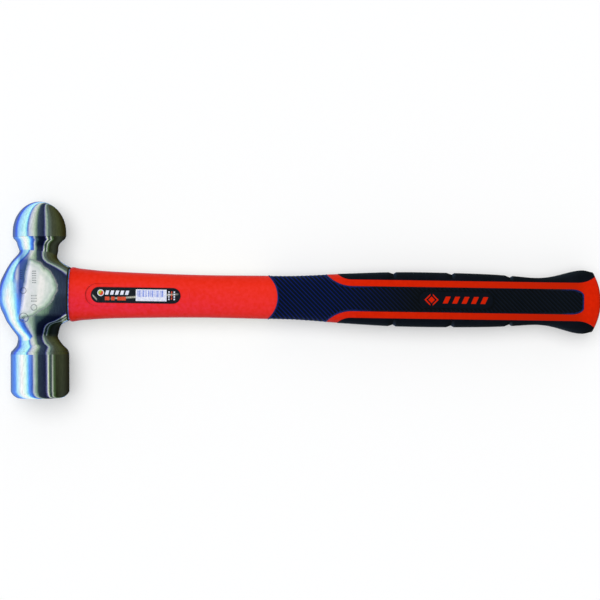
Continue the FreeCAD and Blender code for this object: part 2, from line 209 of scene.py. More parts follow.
def pad_limit(x):
    """Distance of the edge pad's inner side from the handle's axis."""
    if x < PAD_STRAIGHT_X:
        return flare(x, PAD_STRAIGHT_X, PAD_INNER_Y, PAD_ARC_RADIUS)
    if x > PAD_END_STRAIGHT_X:
        return flare(x, PAD_END_STRAIGHT_X, PAD_INNER_Y, PAD_END_ARC_RADIUS)
    return PAD_INNER_Y


def in_sleeve(x, y):
    return x > collar_x(y) and abs(y) < panel_limit(x)


def in_pad(x, y):
    return y > pad_limit(x)


def edge_y(x):
    """Half width of the handle seen from above, rounded off at the butt."""
    run = max(x - BUTT_MIDDLE_X, 0)
    return min(half_sizes(x)[0], math.sqrt(max(BUTT_RADIUS ** 2 - run ** 2, 0)))


def edge_crossing(limit, low, high):
    """Where an outline meets the handle's edge, between an x outside it and one inside."""
    for _ in range(HALVINGS):
        middle = (low + high) / 2
        if limit(middle) > edge_y(middle):
            low = middle
        else:
            high = middle
    return high


def even_points(points):
    """The closed line through the points, divided evenly."""
    closed = points + points[:1]
    lengths = [(b - a).length for a, b in zip(closed, closed[1:])]
    count = round(sum(lengths) / BEAD_STEP)
    spaced, i, travelled = [], 0, 0.0
    for k in range(count):
        target = k * sum(lengths) / count
        while travelled + lengths[i] < target:
            travelled += lengths[i]
            i += 1
        spaced.append(closed[i].lerp(closed[i + 1], (target - travelled) / lengths[i]))
    return spaced


def collar_loop():
    """The collar's edge, once round the handle.  Its x and y settle in a few rounds."""
    loop = []
    for i in range(COLLAR_STEPS):
        angle = 2 * math.pi * i / COLLAR_STEPS
        x = COLLAR_MIDDLE_X
        for _ in range(8):
            y, z = across(x, angle)
            x = collar_x(y)
        loop.append(Vector((x, y, z)))
    return loop


def upper_side(limit, start_x, end_x):
    """Points along an outline on the upper face, close together near its ends."""
    points = []
    for i in range(OUTLINE_STEPS + 1):
        x = start_x + (end_x - start_x) * (1 - math.cos(math.pi * i / OUTLINE_STEPS)) / 2
        y = min(limit(x), edge_y(x))
        points.append(Vector((x, y, height_at(x, y))))
    return points


def turned_over(points, y_sign, z_sign):
    """The same points on another side or face of the handle."""
    return [Vector((p.x, p.y * y_sign, p.z * z_sign)) for p in points]


def panel_loop():
    """Round the front panel and the back panel; the two meet on the handle's edges."""
    start = edge_crossing(panel_limit, PANEL_STRAIGHT_X - PANEL_ARC_RADIUS, PANEL_STRAIGHT_X)
    side = upper_side(panel_limit, start, PANEL_END_X)
    for y in (3, 2, 1, 0):     # the straight end, as far as the middle line
        side.append(Vector((PANEL_END_X, y, height_at(PANEL_END_X, y))))
    return (
        side + turned_over(side, -1, 1)[::-1]
        + turned_over(side, -1, -1) + turned_over(side, 1, -1)[::-1]
    )


def pad_loop():
    """Round the edge pad on the ball side."""
    start = edge_crossing(pad_limit, PAD_STRAIGHT_X - PAD_ARC_RADIUS, PAD_STRAIGHT_X)
    near_arc_end = PAD_END_STRAIGHT_X + PAD_END_ARC_RADIUS - 1.5
    end = edge_crossing(pad_limit, near_arc_end, PAD_END_STRAIGHT_X)
    side = upper_side(pad_limit, start, end)
    return side + turned_over(side, 1, -1)[::-1]


# ---- Meshes of the soft pieces ----

# (distance in from the outline, height above the solid's surface)
COLLAR_BEAD = [(0, -1.0), (0, -0.05), (0.08, 0.14), (0.25, 0.28), (0.5, 0.34), (0.8, 0.3),
               (1.05, 0.14), (1.2, -0.1), (1.3, -0.5)]
PANEL_BEAD = [(0, -1.0), (0, -0.2), (0.07, -0.02), (0.22, 0.1), (0.42, 0.14), (0.65, 0.1),
              (0.85, -0.05), (1.0, -0.25), (1.1, -0.6)]
PAD_BEAD = [(0, -1.0), (0, -0.25), (0.07, -0.05), (0.22, 0.08), (0.45, 0.14), (0.8, 0.15),
            (1.2, 0.12), (1.5, 0.0)]
FIELD_MARGIN = 0.6         # from the outline to the edge of the surface inside it
PAD_LIFT = 0.14            # the pads' surface stands this much above the solid's
SHARP_EDGE_DEG = 50


def outward(p):
    """Direction straight out of the handle at a point on its outside."""
    half_y, half_z = half_sizes(p.x)
    n = SECTION_POWER - 1
    ny = math.copysign((abs(p.y) / half_y) ** n / half_y, p.y)
    nz = math.copysign((abs(p.z) / half_z) ** n / half_z, p.z)
    return Vector((0, ny, nz)).normalized()


def ring_faces(rings, count):
    """Quads between neighbouring closed rings, each with this many points."""
    faces = []
    for ring in range(rings - 1):
        for i in range(count):
            a, b = ring * count + i, ring * count + (i + 1) % count
            faces.append((a, b, b + count, a + count))
    return faces


def bead(loop, inside, profile):
    """A rounded border that follows a closed loop on the handle's outside."""
    count = len(loop)
    inward = []
    for i, p in enumerate(loop):
        tangent = (loop[(i + 1) % count] - loop[i - 1]).normalized()
        inward.append(outward(p).cross(tangent).normalized())
    votes = sum(1 if inside(p.x + d.x, abs(p.y + d.y)) else -1 for p, d in zip(loop, inward))
    sign = 1 if votes > 0 else -1
    vertices = []
    for distance, lift in profile:
        for p, d in zip(loop, inward):
            q = p + d * distance * sign
            y, z = across(q.x, math.atan2(q.z, q.y), -lift)
            vertices.append(Vector((q.x, y, z)))
    faces = ring_faces(len(profile), count)
    return vertices, faces if sign > 0 else [face[::-1] for face in faces]


def field(rows, row_x, sunk, inside, loops):
    """The surface inside the loops: rows round the handle, cut a little inside the outline."""
    outline = KDTree(sum(len(loop) for loop in loops))
    for i, p in enumerate(p for loop in loops for p in loop):
        outline.insert(p, i)
    outline.balance()
    grid = []
    for i in range(rows):
        for j in range(AROUND):
            angle = 2 * math.pi * (j + 0.5) / AROUND
            x = row_x(i, 0.0)
            for _ in range(4):
                y, z = across(x, angle)
                x = row_x(i, y)
            y, z = across(x, angle)
            gap = outline.find(Vector((x, y, z)))[2]
            depth = (gap if inside(x, y) else -gap) - FIELD_MARGIN
            y, z = across(x, angle, sunk(i, x, y, z))
            grid.append((Vector((x, y, z)), depth))
    return cut_to_outline(grid, rows)


def cut_to_outline(grid, rows):
    """Quads between neighbouring grid points, each cut where the depth passes zero."""
    vertices, faces, known = [], [], {}

    def vertex(key, point):
        if key not in known:
            known[key] = len(vertices)
            vertices.append(point)
        return known[key]

    for i in range(rows - 1):
        for j in range(AROUND):
            k = (j + 1) % AROUND
            ring = [i * AROUND + j, (i + 1) * AROUND + j, (i + 1) * AROUND + k, i * AROUND + k]
            if all(grid[a][1] <= 0 for a in ring):
                continue
            face = []
            for a, b in zip(ring, ring[1:] + ring[:1]):
                (pa, da), (pb, db) = grid[a], grid[b]
                if da > 0:
                    face.append(vertex(a, pa))
                if (da > 0) != (db > 0):
                    face.append(vertex((min(a, b), max(a, b)), pa.lerp(pb, da / (da - db))))
            if len(face) > 2:
                faces.append(face)
    return vertices, faces


def joined(*parts):
    """Several shapes as one."""
    vertices, faces = [], []
    for more_vertices, more_faces in parts:
        shift = len(vertices)
        vertices += more_vertices
        faces += [[i + shift for i in face] for face in more_faces]
    return vertices, faces


def depth_below(point):
    """How far a point lies under the handle's outside."""
    y, z = across(point.x, math.atan2(point.z, point.y))
    return math.hypot(y, z) - math.hypot(point.y, point.z)


def add_object(name, data):
    obj = bpy.data.objects.new(name, data)
    bpy.context.scene.collection.objects.link(obj)
    return obj


def add_piece(name, shape, material, replaces=()):
    """A mesh object that rides with the hammer."""
    vertices, faces = shape
    mesh = bpy.data.meshes.new(name)
    mesh.from_pydata([place(*v) for v in vertices], [], faces)
    groove = mesh.attributes.new("groove", "FLOAT", "POINT")
    groove.data.foreach_set("value", [depth_below(v) / RIB_DEPTH for v in vertices])
    mesh.validate()
    mesh.shade_smooth()
    mesh.set_sharp_from_angle(angle=math.radians(SHARP_EDGE_DEG))
    mesh.materials.append(material)
    piece = add_object(name, mesh)
    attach(piece, "root")
    if replaces:
        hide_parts(*replaces)
    return piece


# ---- Emblem plaque on the upper panel ----

PLAQUE_ENDS_X, PLAQUE_HALF_WIDTH = (258.2, 296.0), 5.6     # middles of its round ends
PLAQUE_SUNK = 0.12         # its top lies this much below the solid's surface
PLAQUE_CLEAR = 0.45        # smooth gap between the plaque and the ribs
PLAQUE_BED_DEPTH = RIB_DEPTH + 0.1
PLAQUE_ROUND_STEPS, PLAQUE_SIDE_STEPS = 32, 40

# (distance in from the outline, depth below the plaque's top)
PLAQUE_RINGS = [(0, 0.8), (0, 0.3), (0.08, 0.17), (0.25, 0.02), (0.5, 0.0), (1.5, 0.0),
                (2.5, 0.0), (3.5, 0.0), (4.5, 0.0), (PLAQUE_HALF_WIDTH - 0.02, 0.0)]


def plaque_gap(x, y):
    """Distance outside the plaque's stadium outline; negative inside."""
    nearest = min(max(x, PLAQUE_ENDS_X[0]), PLAQUE_ENDS_X[1])
    return math.hypot(x - nearest, y) - PLAQUE_HALF_WIDTH


def plaque_outline():
    """Steps round the stadium: a place on its middle line, and the direction out from it."""
    left, right = PLAQUE_ENDS_X
    outline = []
    for x, far_x, first in ((right, left, math.pi / 2), (left, right, -math.pi / 2)):
        for i in range(PLAQUE_ROUND_STEPS + 1):
            angle = first - math.pi * i / PLAQUE_ROUND_STEPS
            outline.append((x, math.cos(angle), math.sin(angle)))
        for i in range(1, PLAQUE_SIDE_STEPS):
            share = i / PLAQUE_SIDE_STEPS
            outline.append((x + (far_x - x) * share, 0.0, -math.sin(first)))
    return outline


def plaque():
    """A low smooth island with a rounded border, built in rings towards its middle line."""
    outline = plaque_outline()
    vertices = []
    for inset, sunk in PLAQUE_RINGS:
        radius = PLAQUE_HALF_WIDTH - inset
        for x, u, v in outline:
            px, py = x + u * radius, v * radius
            vertices.append(Vector((px, py, height_at(px, py) - PLAQUE_SUNK - sunk)))
    rings = ring_faces(len(PLAQUE_RINGS), len(outline))
    return vertices, [(a, d, c, b) for a, b, c, d in rings]


# ---- The soft pieces ----

def rib_depth(i, x, y, z):
    """How far the ribbed surface lies below the solid's: narrow crests, rounded grooves."""
    if z > 0 and plaque_gap(x, y) < PLAQUE_CLEAR:
        return PLAQUE_BED_DEPTH
    phase = i / RIB_SAMPLES
    groove = (0.5 + 0.5 * math.cos(2 * math.pi * phase)) ** 0.75
    to_edge = abs(y) / half_sizes(x)[0]
    return RIB_DEPTH * groove * (1 - EDGE_FADE * to_edge ** 4)


def sleeve_loops():
    return [even_points(collar_loop()), even_points(panel_loop())]


def sleeve_rims(loops):
    """The raised borders of the collar and of the two panels."""
    return joined(bead(loops[0], in_sleeve, COLLAR_BEAD), bead(loops[1], in_sleeve, PANEL_BEAD))


# The ribbed surface's rows run across at 45 degrees, so they start before the collar and end
# past the panels, but stay on the measured part of the handle
ROWS_BEFORE, ROWS_AFTER = 30, 20
ROWS_START_X, ROWS_END_X = 144, BUTT_X - 2


def sleeve_shape(loops):
    """The ribbed collar and panels inside their borders, with the plaque."""
    first_x = COLLAR_MIDDLE_X - ROWS_BEFORE
    step = RIB_STEP_X / RIB_SAMPLES
    rows = int((PANEL_END_X + ROWS_AFTER - first_x) / step)

    def row_x(i, y):
        return min(max(first_x + i * step - y, ROWS_START_X), ROWS_END_X)

    return joined(field(rows, row_x, rib_depth, in_sleeve, loops), plaque())


def notch_depth(i, x, y, z):
    """How far the pad's surface lies below the solid's: long slopes into three V-notches."""
    for notch in NOTCHES_X:
        if notch - NOTCH_BEFORE < x <= notch:
            return NOTCH_DEPTH * (x - notch + NOTCH_BEFORE) / NOTCH_BEFORE - PAD_LIFT
        if notch < x < notch + NOTCH_AFTER:
            return NOTCH_DEPTH * (notch + NOTCH_AFTER - x) / NOTCH_AFTER - PAD_LIFT
    return -PAD_LIFT


# Rows of the pad's surface: evenly spaced, with a closer set of their own at each notch
PAD_ROWS, PAD_ROWS_START_X, PAD_ROW_STEP_X = 128, 193, 1.4
NOTCH_CLEAR_BEFORE, NOTCH_CLEAR_AFTER = 4.2, 2.9
NOTCH_ROWS = (-NOTCH_BEFORE - 0.4, -NOTCH_BEFORE, -1.6, -0.25, 0, 0.25, 1.0,
              NOTCH_AFTER, NOTCH_AFTER + 0.4)
PAD_ROWS_END_X = BUTT_X - 2.5


def pad_rows():
    """Places along the handle for the rows of the pad's surface."""
    rows = {PAD_ROWS_START_X + PAD_ROW_STEP_X * i for i in range(PAD_ROWS)}
    for notch in NOTCHES_X:
        low, high = notch - NOTCH_CLEAR_BEFORE, notch + NOTCH_CLEAR_AFTER
        rows = {x for x in rows if not low < x < high}
        rows |= {notch + offset for offset in NOTCH_ROWS}
    return sorted(x for x in rows if x < PAD_ROWS_END_X)


def pad_shape():
    """The notched pad along the ball-side edge, with its border."""
    loop = even_points(pad_loop())
    rows = pad_rows()
    surface = field(len(rows), lambda i, y: rows[i], notch_depth, in_pad, [loop])
    return joined(surface, bead(loop, in_pad, PAD_BEAD))


def mirrored(shape):
    """The same shape on the other side of the handle."""
    vertices, faces = shape
    return turned_over(vertices, -1, 1), [face[::-1] for face in faces]


# ---- Resin at the joint and print on the label ----

# (x, how far from the resin bead's surface to the handle's), across the little hollow
MENISCUS = [(19.9, -0.5), (20.0, 0.0), (20.25, -0.05), (20.5, 0.05), (20.7, 0.25), (20.85, 0.5),
            (20.98, 0.85), (21.1, 0.9), (21.1, 0.3)]
MENISCUS_STEPS = 240
BEAD_HALF_SIZES, HANDLE_END_HALF_SIZES, BEAD_POWER = (16.8, 11.4), (17.6, 12.0), 2.25


def wander(angle):
    """How the resin's edge wanders round the joint, from 0 to 1."""
    return 0.5 + 0.25 * math.sin(5 * angle + 1) + 0.25 * math.sin(13 * angle)


def meniscus():
    """The uneven hollow that the resin makes between the head and the handle."""
    n = BEAD_POWER
    vertices = []
    for x, rise in MENISCUS:
        for i in range(MENISCUS_STEPS):
            angle = 2 * math.pi * i / MENISCUS_STEPS
            uneven = wander(angle)
            share = rise if x > JACKET_START else rise * (0.6 + 0.6 * uneven)
            half_y, half_z = [a + (b - a) * share for a, b in
                              zip(BEAD_HALF_SIZES, HANDLE_END_HALF_SIZES)]
            u, v = math.cos(angle), math.sin(angle)
            reach = (abs(u / half_y) ** n + abs(v / half_z) ** n) ** (-1 / n)
            vertices.append(Vector((x + 0.1 * (uneven - 0.5), u * reach, v * reach)))
    return vertices, ring_faces(len(MENISCUS), MENISCUS_STEPS)


LABEL_TOP = 10.15
INK_THICKNESS = 0.04
DISC_STEPS = 32

# The print's layout; a bar's place is its lower left corner
SPOT, SPOT_RADIUS, SPOT_INNER_RADIUS = (42.1, 1.4), 2.2, 1.7
SPOT_ORANGE_DEG, SPOT_GREEN_DEG = (-120, 60), (60, 240)
SLANTED_BARS, SLANTED_BARS_X, SLANTED_STEP_X = 5, 44.9, 3.3
CODE_PANEL = (65.3, -3.7, 20.4, 7.7)
CODE_BARS, CODE_X, CODE_Y, CODE_HEIGHT = 14, 66.2, -0.9, 4.3
CODE_WIDTHS, CODE_GAPS = (0.35, 0.9, 0.5, 1.2, 0.4), (0.55, 0.4, 0.8)
WHITE_DASHES = [(x, y, width) for x, width in ((86.8, 0.8), (90.3, 0.9))
                for y in (-2.8, -1.2, 0.4, 2.0)]
ORANGE_BARS = [(44.9, 3.0), (49.1, 2.2), (53.2, 5.6)]


def plate(outline, layer=0):
    """A thin raised shape on the label; a second layer lies on the first."""
    low = LABEL_TOP + layer * INK_THICKNESS
    count = len(outline)
    vertices = [Vector((x, y, low + rise)) for rise in (0, INK_THICKNESS) for x, y in outline]
    faces = [tuple(range(count, 2 * count))]
    for i in range(count):
        j = (i + 1) % count
        faces.append((i, j, j + count, i + count))
    return vertices, faces


def bar(x, y, length, height, slant=0.0, layer=0):
    """A bar with its lower left corner at x, y; its top can lean along the handle."""
    corners = [(x, y), (x + length, y), (x + length + slant, y + height), (x + slant, y + height)]
    return plate(corners, layer)


def disc(x, y, radius, start_deg=0, end_deg=360, layer=0):
    """A whole disc, or the part of one that lies beyond a chord."""
    turn = math.radians(end_deg - start_deg) / DISC_STEPS
    first = math.radians(start_deg)
    count = DISC_STEPS if end_deg - start_deg == 360 else DISC_STEPS + 1
    points = [(x + radius * math.cos(first + i * turn), y + radius * math.sin(first + i * turn))
              for i in range(count)]
    return plate(points, layer)


def white_print():
    """Slanted bars like those on the grip, the code panel, and two columns of dashes."""
    shapes = [bar(SLANTED_BARS_X + SLANTED_STEP_X * i, 0.2, 2.1, 2.8, slant=0.8)
              for i in range(SLANTED_BARS)]
    shapes.append(bar(*CODE_PANEL))
    shapes += [bar(x, y, width, 1.0) for x, y, width in WHITE_DASHES]
    shapes.append(disc(*SPOT, SPOT_RADIUS))
    return joined(*shapes)


def blue_print():
    """The upright bars of the code panel."""
    shapes, x = [], CODE_X
    for i in range(CODE_BARS):
        width = CODE_WIDTHS[i % len(CODE_WIDTHS)]
        shapes.append(bar(x, CODE_Y, width, CODE_HEIGHT, layer=1))
        x += width + CODE_GAPS[i % len(CODE_GAPS)]
    return joined(*shapes)


def orange_print():
    """A row of three bars, a column of dashes and half of the spot."""
    shapes = [bar(x, -3.5, length, 2.4) for x, length in ORANGE_BARS]
    shapes += [bar(88.6, y, 0.8, 1.4) for y in (-2.5, -0.5, 1.5)]
    shapes.append(disc(*SPOT, SPOT_INNER_RADIUS, *SPOT_ORANGE_DEG, layer=1))
    return joined(*shapes)


def green_print():
    """The spot's other half."""
    return disc(*SPOT, SPOT_INNER_RADIUS, *SPOT_GREEN_DEG, layer=1)


# ---- Materials ----

def new_material(name, colour, roughness, metallic=0.0, specular=0.5):
    """A material and its shader, with the values that don't vary over the surface."""
    material = bpy.data.materials.new(name)
    material.use_nodes = True
    shader = material.node_tree.nodes["Principled BSDF"]
    shader.inputs["Base Color"].default_value = (*colour, 1)
    shader.inputs["Roughness"].default_value = roughness
    shader.inputs["Metallic"].default_value = metallic
    shader.inputs["Specular IOR Level"].default_value = specular
    return material, shader


def add_node(owner, kind, **values):
    """A node with its properties and input values set; two-word inputs use an underscore."""
    node = owner.node_tree.nodes.new("ShaderNode" + kind)
    for key, value in values.items():
        if hasattr(node, key):
            setattr(node, key, value)
        else:
            node.inputs[key.replace("_", " ")].default_value = value
    return node


def link(owner, source, target):
    owner.node_tree.links.new(source, target)


def paint(owner, shader, colour):
    link(owner, colour, shader.inputs["Base Color"])


def noise(owner, scale, detail=3.0):
    """Noise over the object's own coordinates, with one scale or a scale for each axis."""
    coordinates = add_node(owner, "TexCoord")
    scales = scale if isinstance(scale, tuple) else (scale, scale, scale)
    mapping = add_node(owner, "Mapping", Scale=scales)
    texture = add_node(owner, "TexNoise", Scale=1.0, Detail=detail)
    link(owner, coordinates.outputs["Object"], mapping.inputs["Vector"])
    link(owner, mapping.outputs["Vector"], texture.inputs["Vector"])
    return texture.outputs["Fac"]


def position(owner, axis, kind="Object"):
    """The X, Y or Z of a point in the object's own metres, or of another kind of vector."""
    coordinates = add_node(owner, "TexCoord")
    split = add_node(owner, "SeparateXYZ")
    link(owner, coordinates.outputs[kind], split.inputs[0])
    return split.outputs[axis]


def rescale(owner, value, from_low, from_high, low=0.0, high=1.0):
    """Maps a value from one range to another and clamps it."""
    node = add_node(owner, "MapRange")
    names = ("From Min", "From Max", "To Min", "To Max")
    for name, number in zip(names, (from_low, from_high, low, high)):
        node.inputs[name].default_value = number
    link(owner, value, node.inputs["Value"])
    return node.outputs["Result"]


def maths(owner, operation, a, b):
    """A maths node; each operand is a socket or a number."""
    node = add_node(owner, "Math", operation=operation)
    for operand, socket in ((a, node.inputs[0]), (b, node.inputs[1])):
        if isinstance(operand, (int, float)):
            socket.default_value = operand
        else:
            link(owner, operand, socket)
    return node.outputs[0]


def all_of(owner, masks):
    """The product of several masks: 1 only where all of them are 1."""
    product = masks[0]
    for mask in masks[1:]:
        product = maths(owner, "MULTIPLY", product, mask)
    return product


def fade(owner, axis, start, end, low=0.0, high=1.0):
    """Goes from low to high between two places along X or Y."""
    first, last = [getattr(place(p, p, 0), axis.lower()) for p in (start, end)]
    return rescale(owner, position(owner, axis), first, last, low, high)


def between(owner, axis, points):
    """1 over a stretch of an axis: it fades in from the first of four places to the second,
    and out from the third to the fourth."""
    start, full, fading, end = points
    return all_of(owner, [fade(owner, axis, start, full), fade(owner, axis, end, fading)])


def colour_ramp(owner, value, stops):
    """The colour for a value, from stops of (value, colour)."""
    ramp = add_node(owner, "ValToRGB")
    elements = ramp.color_ramp.elements
    while len(elements) < len(stops):
        elements.new(0.5)
    for element, (stop, colour) in zip(elements, stops):
        element.position = stop
        element.color = (*colour, 1)
    link(owner, value, ramp.inputs["Fac"])
    return ramp.outputs["Color"]


def mottled(owner, texture, a, b, spread=0.2):
    """Varies from one colour to another as a texture rises through its middle value."""
    return colour_ramp(owner, texture, [(0.5 - spread, a), (0.5 + spread, b)])


def mix_colours(owner, factor, a, b, blend="MIX"):
    """Blends two colours; each is a socket or a colour."""
    node = add_node(owner, "Mix", data_type="RGBA", blend_type=blend)
    sockets = [socket for socket in node.inputs if socket.type == "RGBA"]
    for colour, socket in zip((a, b), sockets):
        if isinstance(colour, tuple):
            socket.default_value = (*colour, 1)
        else:
            link(owner, colour, socket)
    if isinstance(factor, float):
        node.inputs["Factor"].default_value = factor
    else:
        link(owner, factor, node.inputs["Factor"])
    return [socket for socket in node.outputs if socket.type == "RGBA"][0]


def occlusion(owner, distance):
    """1 in the open, less in hollows and corners narrower than about this distance."""
    return add_node(owner, "AmbientOcclusion", samples=8, Distance=distance * MM).outputs["AO"]


def bump(owner, shader, height, depth, round_edges=0.0):
    """Relief of some depth from a height between 0 and 1; edges can be softened by a radius."""
    node = add_node(owner, "Bump", Strength=1.0, Distance=depth * MM)
    link(owner, height, node.inputs["Height"])
    if round_edges:
        softened = add_node(owner, "Bevel", samples=6, Radius=round_edges * MM)
        link(owner, softened.outputs["Normal"], node.inputs["Normal"])
    link(owner, node.outputs["Normal"], shader.inputs["Normal"])


# The dull middle of each cheek. Its edge towards the crown is straight and leans; the other
# edges run round to the handle's side in one curve.
CHEEK_EDGE_X, CHEEK_MIDDLE_Y = -7.5, 3.0
CHEEK_LEAN = 0.135         # how far the straight edge shifts in X for each millimetre of Y
CHEEK_LENGTH, CHEEK_HALF_HEIGHT = 23.4, 21.4
CHEEK_POWER = 1.6
CHEEK_RAGGED = 0.3         # how far its border wanders, as a share of its size
EDGE_RAGGED = 0.3          # how much of that the straight edge takes up
CHEEK_EDGE_FADE, CHEEK_BORDER_FADE = (-0.05, 0.04), (0.94, 0.84)


def cheek_reach(material):
    """Shares of the cheek's dull area: how far in from its straight edge, and how far out."""
    middle = place(CHEEK_EDGE_X, CHEEK_MIDDLE_Y, 0)
    x = maths(material, "SUBTRACT", position(material, "X"), middle.x)
    y = maths(material, "SUBTRACT", position(material, "Y"), middle.y)
    x = maths(material, "SUBTRACT", x, maths(material, "MULTIPLY", y, CHEEK_LEAN))
    along = maths(material, "DIVIDE", x, CHEEK_LENGTH * MM)
    up = maths(material, "DIVIDE", maths(material, "ABSOLUTE", y, 0.0), CHEEK_HALF_HEIGHT * MM)
    inside = maths(material, "MAXIMUM", along, 0.0)
    powers = [maths(material, "POWER", offset, CHEEK_POWER) for offset in (inside, up)]
    uneven = maths(material, "SUBTRACT", noise(material, (150, 110, 0)), 0.5)
    ragged = maths(material, "MULTIPLY", uneven, CHEEK_RAGGED)
    reach = maths(material, "ADD", maths(material, "ADD", *powers), ragged)
    along = maths(material, "ADD", along, maths(material, "MULTIPLY", ragged, EDGE_RAGGED))
    return along, reach


def satin_cheek(material, along, reach):
    """1 on the dull middle of each cheek, fading out at its border."""
    return all_of(material, [rescale(material, along, *CHEEK_EDGE_FADE),
                             rescale(material, reach, *CHEEK_BORDER_FADE)])


# Painted dark reflections: a strip by the crown, and patches above the lower neck and under the
# ball: where they fade in and out along X and Y
PAINTED_REFLECTION_STRIP = ((-12.8, -10.6, 8, 9), (-8, 2, 22, 30))
PAINTED_REFLECTION_PATCHES = [
    ((-2.5, 0.5, 16, 18), (-30, -26, -15, -12.5)),
    ((-1.5, -0.3, 4.5, 6.5), (29.5, 32.5, 37.5, 38.2)),
]


def reflection_patch_mask(material, x_points, y_points):
    """1 on a patch of the steel, where a dark reflection is painted."""
    return all_of(material, [between(material, "X", x_points), between(material, "Y", y_points)])


def reflection_strip_mask(material, along):
    """1 on the strip between the dull area's straight edge and the crown, where a dark reflection is
    painted.
    """
    beyond_edge = rescale(material, along, *CHEEK_EDGE_FADE, 1.0, 0.0)
    return all_of(material, [beyond_edge, reflection_patch_mask(material, *PAINTED_REFLECTION_STRIP)])


def ground_face(material):
    """1 on the flat striking face, which is ground dull and looks along -Y."""
    return rescale(material, position(material, "Y", "Normal"), -0.97, -0.99)


# Painted reflection bands from the dull area's straight edge to the handle's side, and painted shade
# from its middle outwards
CHEEK_REFLECTION_BANDS = [
    (0.0, (0.62, 0.66, 1.00)), (0.06, (1.00, 0.97, 1.00)), (0.14, (0.83, 0.84, 0.84)),
    (0.33, (0.82, 0.84, 0.82)), (0.42, (0.97, 0.95, 0.90)), (0.52, (0.95, 0.93, 0.88)),
    (0.60, (0.82, 0.86, 0.80)), (1.0, (0.84, 0.86, 0.82)),
]
CHEEK_PAINTED_SHADE = [
    (0.50, (1.00, 1.00, 1.00)), (0.62, (0.80, 0.86, 0.84)), (0.70, (0.86, 0.93, 0.87)),
    (0.79, (0.58, 0.72, 0.60)), (0.85, (0.26, 0.39, 0.31)), (0.91, (0.09, 0.14, 0.15)),
]
POLISHED_ROUGHNESS, DULL_ROUGHNESS = (0.06, 0.10), (0.38, 0.50)
DULL_METALLIC = 0.16       # the dull areas scatter light, as a matt surface does
# Colours of the painted dark reflections on the strip and the patches
STRIP_REFLECTION_COLOUR, PATCH_REFLECTION_COLOUR = (0.065, 0.115, 0.38), (0.14, 0.17, 0.26)


def steel_roughness(material, satin):
    """Polished or dull, each a little uneven."""
    cloudy = noise(material, 70, detail=5)
    polished = rescale(material, cloudy, 0.35, 0.65, *POLISHED_ROUGHNESS)
    dull = rescale(material, cloudy, 0.35, 0.65, *DULL_ROUGHNESS)
    more = maths(material, "MULTIPLY", maths(material, "SUBTRACT", dull, polished), satin)
    return maths(material, "ADD", polished, more)


def bright_steel(material, streaks, along):
    """Fine grinding marks, with painted dark reflections on the strip and the patches."""
    colour = mottled(material, streaks, (0.62, 0.62, 0.62), (0.83, 0.82, 0.80))
    colour = mix_colours(material, reflection_strip_mask(material, along), colour, STRIP_REFLECTION_COLOUR)
    for patch in PAINTED_REFLECTION_PATCHES:
        colour = mix_colours(material, reflection_patch_mask(material, *patch), colour, PATCH_REFLECTION_COLOUR)
    return colour


def frosted_steel(material, along, reach):
    """A fine speckle, with painted reflection bands along the cheek and painted shade towards its
    border.
    """
    speckle = noise(material, (500, 350, 500), detail=5)
    colour = mottled(material, speckle, (0.85, 0.87, 0.86), (1.0, 0.98, 1.0))
    for share, tints in ((along, CHEEK_REFLECTION_BANDS), (reach, CHEEK_PAINTED_SHADE)):
        tint = colour_ramp(material, share, tints)
        colour = mix_colours(material, 1.0, colour, tint, "MULTIPLY")
    return colour


def steel():
    """Bright steel with grinding marks, dull in the middle of the cheeks and on the face, with
    painted reflections and painted shade.
    """
    material, shader = new_material("forged steel", (0.74, 0.73, 0.71), 0.12, metallic=1.0)
    streaks = noise(material, (1300, 220, 1300))
    along, reach = cheek_reach(material)
    cheek = satin_cheek(material, along, reach)
    satin = maths(material, "MAXIMUM", cheek, ground_face(material))
    bright = bright_steel(material, streaks, along)
    frosted = frosted_steel(material, along, reach)
    surface = mix_colours(material, satin, bright, frosted)
    # Painted shade: the colour darkens in the stamped marks and other hollows narrower than 0.6 mm
    hollow_shade = colour_ramp(material, occlusion(material, 0.6),
                         [(0.45, (0.20, 0.22, 0.23)), (0.92, (1, 1, 1))])
    paint(material, shader, mix_colours(material, 1.0, surface, hollow_shade, "MULTIPLY"))
    metallic = rescale(material, satin, 0.0, 1.0, 1.0, DULL_METALLIC)
    link(material, metallic, shader.inputs["Metallic"])
    link(material, steel_roughness(material, satin), shader.inputs["Roughness"])
    bump(material, shader, streaks, 0.004)
    return material


# Where the plastic changes from the neck's look to the grip's
NECK_TO_GRIP_X = (150, 215)


def orange_neck(material, cloudy):
    """Painted light: lighter along the middle as if lit from above, with a painted pink sheen below
    it and towards the head.
    """
    # Painted light: warm for the shaded edges, light for the lit middle, pink for a painted sheen
    warm = mottled(material, cloudy, (0.74, 0.014, 0.000), (0.79, 0.021, 0.008))
    light = mottled(material, cloudy, (0.82, 0.022, 0.006), (0.87, 0.032, 0.018))
    pink_sheen = mottled(material, cloudy, (0.77, 0.017, 0.020), (0.82, 0.028, 0.060))
    low = fade(material, "Y", 9, -6)
    off_edge = fade(material, "Y", -15, -10)
    towards_head = fade(material, "X", 60, 140, 1.0, 0.35)
    middle = between(material, "Y", (-15, -9, 6, 14))
    neck = mix_colours(material, middle, warm, light)
    return mix_colours(material, all_of(material, [low, off_edge, towards_head]), neck, pink_sheen)


def orange_grip(material, cloudy):
    """Deeper orange between the soft parts, duller towards the butt."""
    colour = mottled(material, cloudy, (0.61, 0.0130, 0.0002), (0.68, 0.0160, 0.0004), 0.15)
    duller = between(material, "X", (215, 350, 356, 364))
    return mix_colours(material, duller, colour, (0.50, 0.0130, 0.0001))


